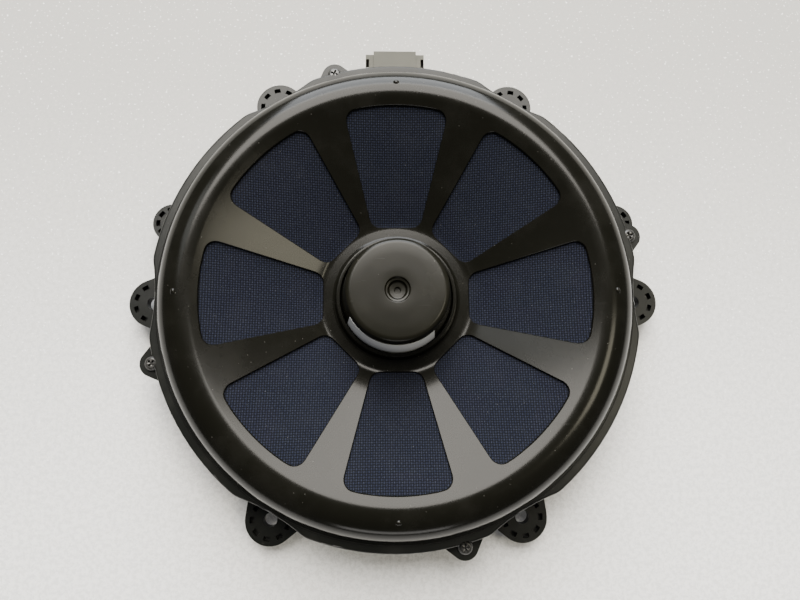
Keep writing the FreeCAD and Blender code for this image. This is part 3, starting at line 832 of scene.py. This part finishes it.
# %% A moulded copy of a CAD node
def moulded(node_name, name, width, segments=2, degrees=32):
    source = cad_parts[node_name]
    only(source)
    bpy.ops.object.duplicate()
    piece = bpy.context.object
    piece.name = piece.data.name = name
    piece.parent = None
    settle(piece)
    closed_and_outward(piece, 2e-6)
    apply_modifier(piece, "DECIMATE", decimate_type="DISSOLVE", angle_limit=math.radians(0.5))
    soften(piece, width * MM, segments, degrees)
    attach(piece, "frame")
    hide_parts(node_name)
    print(name, len(piece.data.polygons), "faces")
    return piece


upper_ring = moulded("frame_ring", "upper_ring", 0.22)
lower_ring = moulded("mounting_ring", "lower_ring", 0.22)
housing = moulded("connector_housing", "plug_housing", 0.2)
for piece, material, slot_name in ((upper_ring, ring_black, "ring_plastic"),
                                   (lower_ring, ring_black, "ring_plastic"),
                                   (housing, socket_grey, "connector_plastic")):
    wear_material(piece, material)

# %% [markdown]
# The four ring screws are one screw and three copies. The pan head is spun from its outline, and two crossed
# slots are cut into it. Each copy is turned differently, because no one lines screws up.

# %% Ring screws
SCREW_R, SCREW_ANGLES, SCREW_TURNS = 117.8, (15.0, 105.0, 195.0, 285.0), (22.0, 71.0, 140.0, 8.0)
SCREW_LOW, SCREW_HIGH = (corner.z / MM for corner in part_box("ring_screws"))
EAR_TOP = 19.2
head_corners = [(0, SCREW_LOW, 0), (1.5, SCREW_LOW, 0.4), (1.5, EAR_TOP, 0), (3.4, EAR_TOP, 0.15),
                (3.4, EAR_TOP + 1.3, 0.8), (2.4, SCREW_HIGH, 1.2), (0, SCREW_HIGH, 0)]
screw = lathe("ring_screw", rounded(head_corners, arc_steps=6), steps=64)
for turn in (0, 90):
    slot_cutter = plate("slot_cutter", [(-1.9, -0.42), (1.9, -0.42), (1.9, 0.42), (-1.9, 0.42)],
                        SCREW_HIGH - 1.5, SCREW_HIGH + 1)
    slot_cutter.rotation_euler = (0, 0, math.radians(turn))
    boolean(screw, settle(slot_cutter))
soften(screw, 0.08 * MM, 2, 50)
wear_material(screw, screw_black)
for number, (angle, turn) in enumerate(zip(SCREW_ANGLES, SCREW_TURNS)):
    a = math.radians(angle)
    placed = copied(screw, f"ring_screw_{number + 1}", turn,
                    (SCREW_R * math.cos(a) * MM, SCREW_R * math.sin(a) * MM, 0))
    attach(placed, "frame")
    if number == 0:
        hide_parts("ring_screws")
bpy.data.objects.remove(screw)
print("screws", len(SCREW_ANGLES))

# %% [markdown]
# ## Moving and bending parts
# The surround, the spider and the two tinsel leads join the still basket to the moving cone. Each is spun or
# swept afresh with enough loops to bend smoothly.

# %% Surround
def share_by(piece, share):
    """Bend a piece between the frame and the cone, each vertex moving by share(vertex)."""
    low = min(v.co.z for v in piece.data.vertices)
    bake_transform(piece, "frame", "cone", (0, 0, low), (0, 0, low + 0.01))
    weights = piece.data.attributes["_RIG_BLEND"].data
    for vertex in piece.data.vertices:
        weights[vertex.index].value = min(1.0, max(0.0, share(vertex.co)))
    return piece


def eased(value):
    value = min(1.0, max(0.0, value))
    return value * value * (3 - 2 * value)


def radial(inner, outer):
    """Full motion inside one radius in mm, none outside the other, and an even change between."""
    return lambda co: 1 - (math.hypot(co.x, co.y) / MM - inner) / (outer - inner)


ROLL_R, ROLL_Z, ROLL_IN, ROLL_OUT, LIP_TOP = 94.25, 28.8, 5.25, 6.25, 28.4
over = [(ROLL_R - ROLL_OUT * math.cos(math.pi * k / 24), ROLL_Z + 0.6 + (ROLL_OUT - 0.6) * math.sin(math.pi * k / 24))
        for k in range(25)]
beneath = [(ROLL_R - ROLL_IN * math.cos(math.pi * k / 24), ROLL_Z - 0.4 + (ROLL_IN + 0.4) * math.sin(math.pi * k / 24))
           for k in range(25)]
roll = [(85.0, LIP_TOP + 1.0), *over, (107.0, LIP_TOP + 1.0), (107.0, LIP_TOP), *beneath[::-1], (85.0, LIP_TOP)]
surround = lathe("rubber_surround", densified(roll, 2.0), steps=192)
share_by(surround, radial(89.0, 99.5))
wear_material(surround, rubber_black)
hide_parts("surround")

# %% [markdown]
# The spider holds the coil in the middle of its gap. Its rolls let it follow the cone along the axis.

# %% Spider
SPIDER_Z = 17.2
wave = rounded([(19.75, SPIDER_Z + 1.2, 0), (19.75, SPIDER_Z - 0.9, 0.6), (20.95, SPIDER_Z - 0.9, 0.6),
                (22.4, SPIDER_Z - 0.3, 0.5), (24.0, SPIDER_Z - 2.3, 0.5), (25.6, SPIDER_Z - 0.3, 0.5),
                (27.2, SPIDER_Z - 2.3, 0.5), (28.9, SPIDER_Z, 0.8), (32.2, SPIDER_Z, 0)], arc_steps=5)
spider = lathe("spider_disc", wave + [(r - 0.02, z - 0.5) for r, z in wave[::-1]], steps=160)
share_by(spider, radial(21.0, 29.0))
spider_weave = finish_of("spider_treated_cloth", (0.30, 0.20, 0.08), (0.42, 0.29, 0.13), 0.7,
                         fine=(1400.0, 1.0), peel=(700.0, 0.8), bump=0.9, relief=0.0001, film=0.05)
wear_material(spider, spider_weave)
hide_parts("spider")
print("surround and spider", len(surround.data.polygons), len(spider.data.polygons), "faces")

# %% [markdown]
# The leads are flat-woven copper braid round a textile core. Each is swept along a smooth curve from its pin
# to its eyelet, and the braid's crossing strands are left to the material.

# %% Tinsel leads
LEAD_R = 0.8


def lead(name, side, node_name):
    route = [(4 * side, 99.5, 9.0), (4.6 * side, 92.0, 8.4), (6.6 * side, 82.0, 3.4), (8.4 * side, 71.5, 3.6),
             (9.0 * side, 61.74, 8.6), (9.0 * side, 61.34, 16.0)]
    low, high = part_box(node_name)
    route[-1] = (9.0 * side, 61.34, high.z / MM)
    nothing_selected()
    bpy.ops.curve.primitive_bezier_curve_add()
    line = bpy.context.object
    spline = line.data.splines[0]
    spline.bezier_points.add(len(route) - 2)
    for point, place in zip(spline.bezier_points, route):
        point.co = [v * MM for v in place]
        point.handle_left_type = point.handle_right_type = "AUTO"
    line.data.bevel_depth = LEAD_R * MM
    line.data.bevel_resolution = 4
    line.data.use_fill_caps = True
    spline.resolution_u = 16
    only(line)
    bpy.ops.object.convert(target="MESH")
    made = bpy.context.object
    made.name = made.data.name = name
    settle(made)
    closed_and_outward(made, 1e-7)
    smooth(made, 50)
    start, end = 96.0 * MM, 63.0 * MM
    share_by(made, lambda co: eased((start - co.y) / (start - end)))
    wear_material(made, braid)
    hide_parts(node_name)
    return made


braid = finish_of("copper_braid", (0.50, 0.26, 0.13), (0.72, 0.42, 0.24), 0.38, metallic=1.0,
                  fine=(2200.0, 1.0), peel=(1200.0, 0.8), bump=0.9, relief=0.0002, specks=0.2)
leads = [lead("tinsel_braid_left", -1, "tinsel_lead_left"), lead("tinsel_braid_right", 1, "tinsel_lead_right")]
print("leads", [len(p.data.polygons) for p in leads], "faces")

# %% [markdown]
# ## Parts shown as the CAD made them
# The hidden and half-hidden parts keep their CAD meshes: they are already round and smooth enough. Their
# slots are given the node materials above.

# %% Materials for the carried-over nodes
copper = finish_of("enamelled_copper", (0.45, 0.17, 0.06), (0.62, 0.26, 0.10), 0.25, metallic=1.0,
                   fine=(900.0, 0.5), bump=0.3)
for node_name, material in (("cone", cone_pulp), ("dust_cap", cone_pulp), ("coil_former", former_foil),
                            ("coil_winding", copper), ("coil_tails", copper), ("lead_eyelets", tin_brass),
                            ("magnet", nickel), ("pole_plate", plate_zinc), ("connector_pins", tin_brass),
                            ("mounting_gasket", foam_black), ("ring_seal", foam_black),
                            ("rating_label", label_white)):
    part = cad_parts[node_name]
    for slot_made in part.material_slots:
        slot_made.material = material
    if not part.material_slots:
        part.data.materials.append(material)

# %% [markdown]
# ## The floor's finish, with painted light
# A matt, almost white worktop. Its colour lightens slowly towards the near side, as paper looks under a broad light:
# this is painted light, the fall of the light painted into the colour. A faint fibre texture keeps it from
# ever being a flat colour.

# %% Worktop material
FLOOR_NEAR, FLOOR_FAR = -0.20, 0.20


def worktop():
    material = bpy.data.materials.new("pale_worktop")
    material.use_nodes = True
    tree = material.node_tree
    shader = tree.nodes["Principled BSDF"]
    place = node(tree, "ShaderNodeTexCoord").outputs["Object"]
    along = node(tree, "ShaderNodeSeparateXYZ", {0: place})
    # Painted light: the colour runs from light on the near side to dark on the far side, standing in for the fall of
    # light across the floor.
    shade = between(tree, along.outputs["Y"], FLOOR_NEAR, FLOOR_FAR)
    tone = mix(tree, shade, (0.96, 0.955, 0.945), (0.43, 0.415, 0.385))
    fibre = noise(tree, place, 900.0, 4.0, 0.6)
    mottle = between(tree, noise(tree, place, 430.0, 3.0, 0.8), 0.42, 0.60)
    tone = mix(tree, maths(tree, "MULTIPLY", mottle, 0.30), tone, (0.40, 0.40, 0.38))
    fleck = between(tree, noise(tree, place, 700.0, 1.0, 0.5), 0.66, 0.74)
    tone = mix(tree, maths(tree, "MULTIPLY", fleck, 0.7), tone, (0.97, 0.97, 0.96))
    tree.links.new(tone, shader.inputs["Base Color"])
    raised = node(tree, "ShaderNodeBump", {"Height": fibre, "Strength": 0.15, "Distance": 0.0001})
    tree.links.new(raised.outputs["Normal"], shader.inputs["Normal"])
    shader.inputs["Roughness"].default_value = 0.7
    shader.inputs["Specular IOR Level"].default_value = 0.25
    return material


wear_material(floor, worktop())
